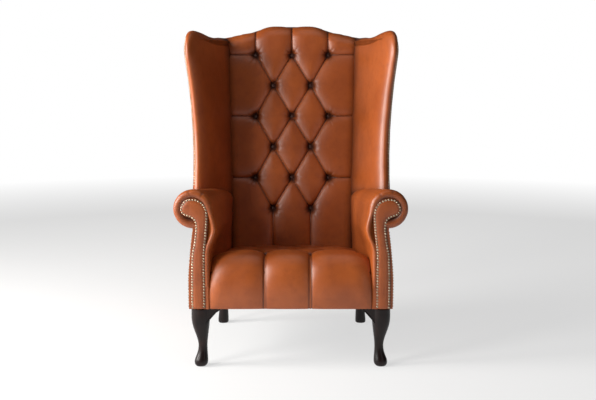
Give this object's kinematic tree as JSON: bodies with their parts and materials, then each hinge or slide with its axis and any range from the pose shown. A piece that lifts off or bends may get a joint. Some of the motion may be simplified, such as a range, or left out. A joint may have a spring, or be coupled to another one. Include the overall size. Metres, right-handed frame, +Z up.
{
  "type": "wingback armchair",
  "caption": "High-backed wing armchair in deep-buttoned leather with scroll arms, nailed facings and dark cabriole legs.",
  "frame": {"origin": "on the floor, under the middle of the chair's bounding box", "axes": "+X to the viewer's right when looking at the front, +Y from the front to the back, +Z up"},
  "size_m": [0.8458, 0.8744, 1.262],
  "materials": {
    "leather": "semi-gloss",
    "beech": "sawn",
    "dark_wood": "satin lacquer",
    "webbing": "woven",
    "foam": "matte",
    "dust_cloth": "matte",
    "steel": "zinc plated"
  },
  "bodies": {
    "root": {"inside_back": "leather", "seat_cover": "leather", "outside_back": "leather", "back_buttons": "leather", "seat_buttons": "leather", "arm_pad_left": "leather", "arm_pad_right": "leather", "wing_pad_left": "leather", "wing_pad_right": "leather", "outside_wing_left": "leather", "outside_wing_right": "leather", "outside_arm_left": "leather", "outside_arm_right": "leather", "arm_facing_left": "leather", "arm_facing_right": "leather", "front_rail": "beech", "back_rail": "beech", "lumbar_rail": "beech", "crest_rail": "beech", "corner_blocks": "beech", "side_rail_left": "beech", "side_rail_right": "beech", "arm_stump_left": "beech", "arm_stump_right": "beech", "arm_rail_left": "beech", "arm_rail_right": "beech", "arm_slat_left": "beech", "arm_slat_right": "beech", "back_post_left": "beech", "back_post_right": "beech", "wing_post_left": "beech", "wing_post_right": "beech", "wing_rail_left": "beech", "wing_rail_right": "beech", "front_leg_left": "dark_wood", "front_leg_right": "dark_wood", "rear_leg_left": "dark_wood", "rear_leg_right": "dark_wood", "knee_blocks_left": "dark_wood", "knee_blocks_right": "dark_wood", "seat_webbing": "webbing", "back_webbing": "webbing", "back_foam": "foam", "seat_foam": "foam", "bottom_cloth": "dust_cloth", "leg_bolts": "steel"}
  },
  "joints": []
}
